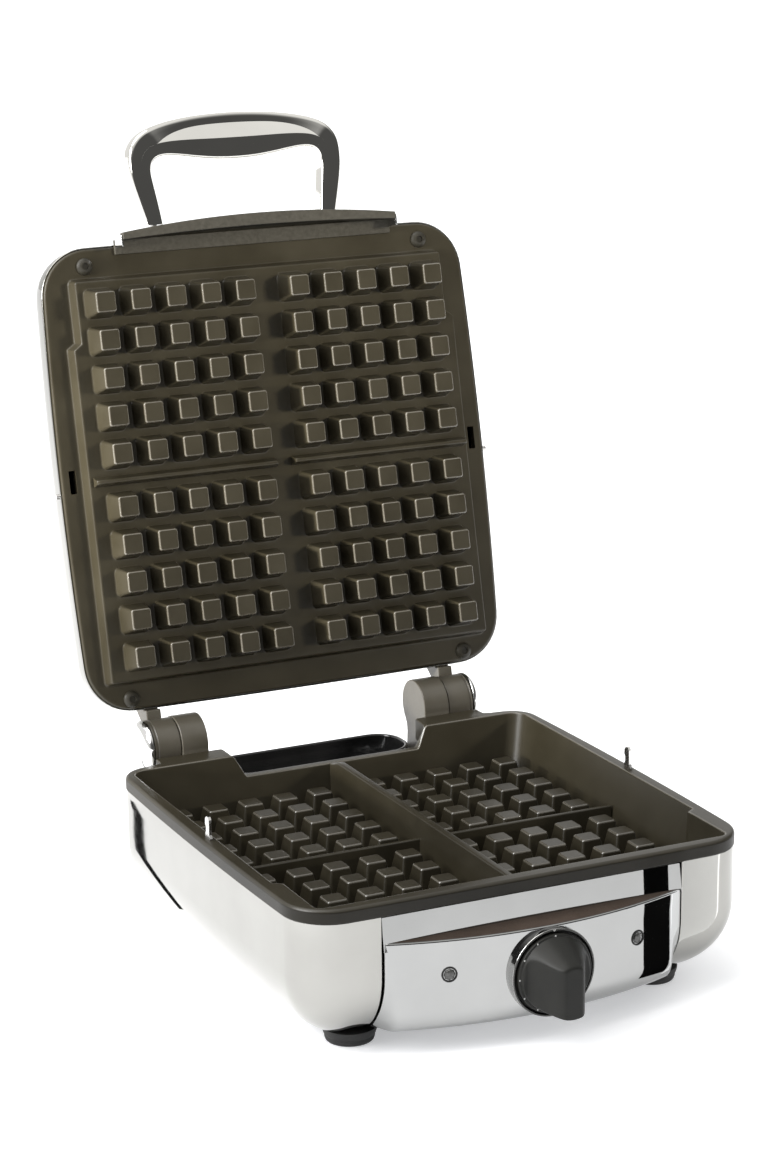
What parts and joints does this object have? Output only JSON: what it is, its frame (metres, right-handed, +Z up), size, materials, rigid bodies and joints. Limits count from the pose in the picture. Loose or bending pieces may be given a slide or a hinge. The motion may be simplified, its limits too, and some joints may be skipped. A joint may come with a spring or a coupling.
{
  "type": "waffle maker",
  "caption": "Counter-top electric waffle maker with square wells, hinged lid with loop handle, and a front control panel with a turning browning knob.",
  "frame": {"origin": "on the surface it stands on, below the middle of the box with the lid open", "axes": "+Z up, +Y to the back (hinges), +X to the right seen from the front"},
  "size_m": [0.2876, 0.4482, 0.4558],
  "materials": {
    "plate_coating": "dark non-stick coating on a casting, fine grain",
    "polished_shell": "mirror polished steel",
    "satin_panel": "satin silver panel",
    "black_steel": "black painted sheet",
    "rubber_feet": "matte black rubber",
    "gloss_black": "glossy black moulding",
    "black_plastic": "matte black moulding",
    "hinge_casting": "dark satin casting",
    "chrome_trim": "polished chrome",
    "bezel_plastic": "satin silver moulding",
    "knob_plastic": "dark grey satin moulding",
    "lens_plastic": "smoky clear lens",
    "lamp_glass": "small lamp",
    "steel_parts": "plain steel",
    "shield_metal": "thin bright sheet"
  },
  "bodies": {
    "base": {"lower_plate": "plate_coating", "alignment_tabs": "steel_parts", "base_shell": "polished_shell", "front_fascia": "satin_panel", "bottom_cover": "black_steel", "feet": "rubber_feet", "foot_screws": "steel_parts", "catch_trough": "gloss_black", "rear_cover": "black_plastic", "cord_gland": "black_plastic", "hinge_bracket_left": "hinge_casting", "hinge_bracket_right": "hinge_casting", "hinge_pin_left": "steel_parts", "hinge_pin_right": "steel_parts", "hinge_cap_left": "chrome_trim", "hinge_cap_right": "chrome_trim", "knob_bezel": "bezel_plastic", "thermostat": "black_plastic", "thermostat_bracket": "steel_parts", "power_lens": "lens_plastic", "ready_lens": "lens_plastic", "indicator_lamps": "lamp_glass", "lower_element": "steel_parts", "lower_element_clips": "shield_metal", "lower_heat_shield": "shield_metal", "lower_shield_screws": "steel_parts", "thermal_cutout": "black_plastic", "terminal_block": "black_plastic"},
    "knob": {"control_knob": "knob_plastic", "control_shaft": "steel_parts"},
    "lid": {"upper_plate": "plate_coating", "plate_screws": "steel_parts", "lid_shell": "polished_shell", "lid_hinge_arm_left": "hinge_casting", "lid_hinge_arm_right": "hinge_casting", "upper_element": "steel_parts", "upper_element_clips": "shield_metal", "upper_heat_shield": "shield_metal", "lid_bumper": "black_plastic", "handle_bracket": "chrome_trim", "handle": "chrome_trim", "handle_screws": "steel_parts", "lid_side_pegs": "steel_parts"}
  },
  "joints": [
    {"name": "lid_hinge", "type": "hinge", "parent": "base", "child": "lid", "pos_m": [0, 0.11404, 0.0915], "axis": [1, 0, 0], "range_deg": [0, 103]},
    {"name": "knob_turn", "type": "hinge", "parent": "base", "child": "knob", "pos_m": [0, -0.19746, 0.0407], "axis": [0, 1, 0], "range_deg": [0, 270]}
  ]
}
